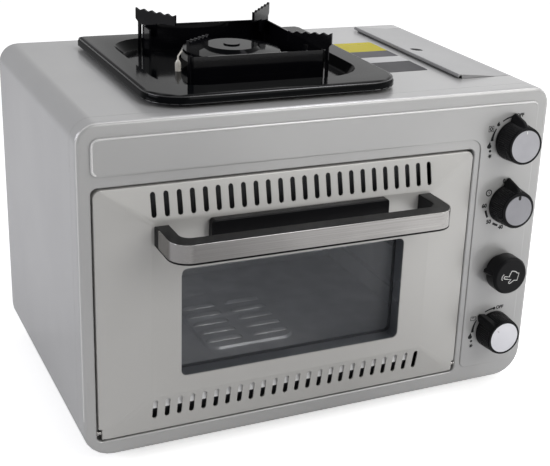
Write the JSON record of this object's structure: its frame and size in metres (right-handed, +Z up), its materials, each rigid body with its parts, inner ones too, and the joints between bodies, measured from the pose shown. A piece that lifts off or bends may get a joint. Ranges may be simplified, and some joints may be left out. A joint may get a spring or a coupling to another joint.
{
  "type": "portable gas oven",
  "caption": "Box-shaped portable gas oven with a drop-down windowed door, bow handle, a column of round knobs, a hob with wind guard and pot supports on top, and a lidded canister bay.",
  "frame": {"origin": "centre of the footprint at the undersides of the feet", "axes": "+X to the right seen from the front, +Y to the back, +Z up; the door and the knobs face -Y"},
  "size_m": [0.5, 0.3766, 0.3936],
  "materials": {
    "body_paint": "smooth silver-grey paint",
    "door_paint": "smooth silver-grey paint",
    "plain_steel": "bare sheet steel",
    "brushed_steel": "fine straight brushing",
    "black_plastic": "matte black moulding",
    "disc_silver": "spun satin",
    "door_glass": "smoked, clear",
    "black_frame": "satin black",
    "black_enamel": "gloss black enamel",
    "cast_alloy": "as cast",
    "brass": "machined",
    "ceramic": "glazed",
    "rubber": "moulded",
    "chrome_wire": "bright plated"
  },
  "bodies": {
    "case": {"outer_wrapper": "body_paint", "front_panel": "body_paint", "back_panel": "body_paint", "base_panel": "plain_steel", "foot_front_left": "rubber", "foot_front_right": "rubber", "foot_rear_left": "rubber", "foot_rear_right": "rubber", "bay_partition": "plain_steel", "liner_front_frame": "plain_steel", "oven_liner": "plain_steel", "oven_floor_plate": "plain_steel", "oven_burner": "plain_steel", "door_hinge_pin_left": "brushed_steel", "door_hinge_pin_right": "brushed_steel", "safety_collar": "black_plastic", "hob_valve": "cast_alloy", "oven_valve": "cast_alloy", "timer_case": "cast_alloy", "safety_valve": "brass", "gas_regulator": "cast_alloy", "manifold_pipe": "brass", "oven_gas_pipe": "brass", "burner_feed_pipe": "brass", "hob_gas_pipe": "brass", "thermocouple": "brass", "canister_tray": "plain_steel", "lid_hinge_pin": "brushed_steel", "drip_pan": "black_enamel", "burner_head": "cast_alloy", "burner_cap": "black_enamel", "igniter_electrode": "ceramic"},
    "door": {"door_skin": "door_paint", "window_frame": "black_frame", "door_glass": "door_glass", "door_inner_panel": "plain_steel", "handle_grip": "black_plastic", "handle_cover": "brushed_steel", "handle_guard_bar": "black_plastic"},
    "rack": {"wire_rack": "chrome_wire"},
    "hob_knob": {"knob_hob": "black_plastic", "knob_hob_disc": "disc_silver", "knob_hob_stem": "brass"},
    "timer_knob": {"knob_timer": "black_plastic", "knob_timer_disc": "disc_silver", "knob_timer_stem": "brass"},
    "oven_knob": {"knob_oven": "black_plastic", "knob_oven_disc": "disc_silver", "knob_oven_stem": "brass"},
    "safety_push": {"safety_button": "black_plastic", "safety_plunger": "brass"},
    "lid": {"canister_lid": "body_paint"},
    "trivet": {"wind_guard": "black_enamel", "pot_support_front_left": "black_enamel", "pot_support_front_right": "black_enamel", "pot_support_rear_left": "black_enamel", "pot_support_rear_right": "black_enamel"}
  },
  "joints": [
    {"name": "door_hinge", "type": "hinge", "parent": "case", "child": "door", "pos_m": [-0.037, -0.12155, 0.0355], "axis": [1, 0, 0], "range_deg": [0, 80]},
    {"name": "rack_slide", "type": "slide", "parent": "case", "child": "rack", "axis": [0, -1, 0], "range_m": [0, 0.1]},
    {"name": "hob_knob_turn", "type": "hinge", "parent": "case", "child": "hob_knob", "pos_m": [0.2077, -0.13, 0.2906], "axis": [0, -1, 0], "range_deg": [0, 105]},
    {"name": "timer_knob_turn", "type": "hinge", "parent": "case", "child": "timer_knob", "pos_m": [0.2077, -0.13, 0.22017], "axis": [0, 1, 0], "range_deg": [0, 270]},
    {"name": "oven_knob_turn", "type": "hinge", "parent": "case", "child": "oven_knob", "pos_m": [0.2077, -0.13, 0.0721], "axis": [0, -1, 0], "range_deg": [-45, 60]},
    {"name": "safety_button_push", "type": "slide", "parent": "case", "child": "safety_push", "axis": [0, 1, 0], "range_m": [0, 0.006], "stiffness_N_per_m": 400, "springref_m": -0.005},
    {"name": "canister_lid_hinge", "type": "hinge", "parent": "case", "child": "lid", "pos_m": [0.244, 0.04675, 0.31], "axis": [0, 1, 0], "range_deg": [0, 95]},
    {"name": "trivet_lift", "type": "slide", "parent": "case", "child": "trivet", "axis": [0, 0, 1], "range_m": [0, 0.06]}
  ],
  "couplings": [
    {"joint": "rack_slide", "follows": "door_hinge", "m_per_rad": 0.0716}
  ]
}
